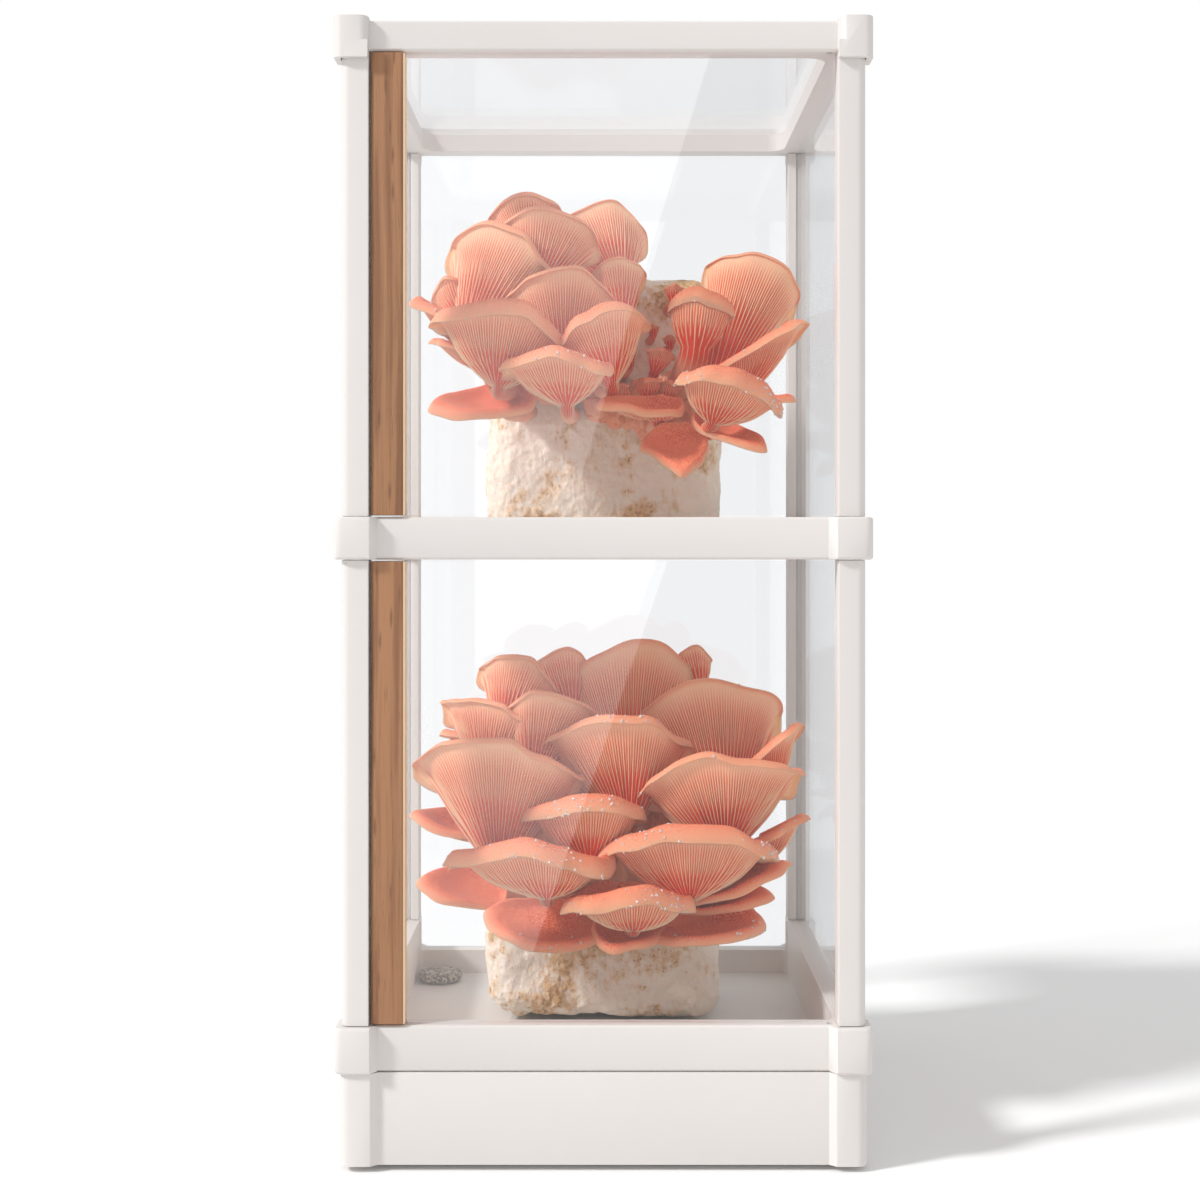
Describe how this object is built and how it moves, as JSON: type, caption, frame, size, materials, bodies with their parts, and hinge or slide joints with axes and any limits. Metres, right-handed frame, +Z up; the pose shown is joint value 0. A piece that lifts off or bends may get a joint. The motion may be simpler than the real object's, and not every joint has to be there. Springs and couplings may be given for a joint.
{
  "type": "oyster mushroom grow kit",
  "caption": "Two-tier clear grow chamber with white frame, hinged clear doors with wood grips, and a fruiting block of pink oyster mushrooms on each tier",
  "frame": {"origin": "middle of the footprint, on the surface that the feet stand on", "axes": "+Z up; the doors face -Y; +X is the hinge side of the doors"},
  "size_m": [0.31, 0.31, 0.664],
  "materials": {
    "white_shell": "fine satin moulded shell, warm white",
    "clear_pane": "clear polished pane, 3 mm",
    "oiled_wood": "oiled, straight grain with small knots",
    "rubber_feet": "pale matte foot pads",
    "substrate": "white mycelium over straw and sawdust, lumpy",
    "grey_stone": "fine porous grey, rounded",
    "mushroom": "salmon-pink velvety flesh, coral gills"
  },
  "bodies": {
    "cabinet": {"base_housing": "white_shell", "base_plate": "white_shell", "lower_tray": "white_shell", "middle_tray": "white_shell", "top_frame": "white_shell", "lower_post_front_left": "white_shell", "lower_post_back_left": "white_shell", "lower_post_front_right": "white_shell", "lower_post_back_right": "white_shell", "upper_post_front_left": "white_shell", "upper_post_back_left": "white_shell", "upper_post_front_right": "white_shell", "upper_post_back_right": "white_shell", "foot_front_left": "rubber_feet", "foot_back_left": "rubber_feet", "foot_front_right": "rubber_feet", "foot_back_right": "rubber_feet", "lower_side_pane_left": "clear_pane", "lower_side_pane_right": "clear_pane", "upper_side_pane_left": "clear_pane", "upper_side_pane_right": "clear_pane", "lower_back_pane": "clear_pane", "upper_back_pane": "clear_pane", "lid_pane": "clear_pane", "lower_substrate_block": "substrate", "upper_substrate_block": "substrate", "porous_stone": "grey_stone", "lower_crown_fan": "mushroom", "lower_right_crown_fan": "mushroom", "lower_centre_funnel": "mushroom", "lower_left_crown_fan": "mushroom", "lower_left_upper_fan": "mushroom", "lower_left_funnel": "mushroom", "lower_left_tongue": "mushroom", "lower_low_left_tongue": "mushroom", "lower_front_left_shelf": "mushroom", "lower_small_centre_cap": "mushroom", "lower_right_funnel": "mushroom", "lower_front_right_cap": "mushroom", "lower_low_right_cap": "mushroom", "lower_low_front_cap": "mushroom", "lower_smooth_low_cap": "mushroom", "upper_crown_fan": "mushroom", "upper_back_fan": "mushroom", "upper_left_fan": "mushroom", "upper_centre_funnel": "mushroom", "upper_right_small_fan": "mushroom", "upper_far_left_tongue": "mushroom", "upper_left_shelf": "mushroom", "upper_low_left_cap": "mushroom", "upper_front_funnel": "mushroom", "upper_tall_right_fan": "mushroom", "upper_trumpet": "mushroom", "upper_long_right_tongue": "mushroom", "upper_dewy_cap": "mushroom", "upper_hanging_cap": "mushroom"},
    "lower_door": {"lower_door_pane": "clear_pane", "lower_wood_grip": "oiled_wood"},
    "upper_door": {"upper_door_pane": "clear_pane", "upper_wood_grip": "oiled_wood"}
  },
  "joints": [
    {"name": "lower_door_hinge", "type": "hinge", "parent": "cabinet", "child": "lower_door", "pos_m": [0.131, -0.1425, 0.2175], "axis": [0, 0, 1], "range_deg": [0, 100]},
    {"name": "upper_door_hinge", "type": "hinge", "parent": "cabinet", "child": "upper_door", "pos_m": [0.131, -0.1425, 0.5105], "axis": [0, 0, 1], "range_deg": [0, 100]}
  ]
}
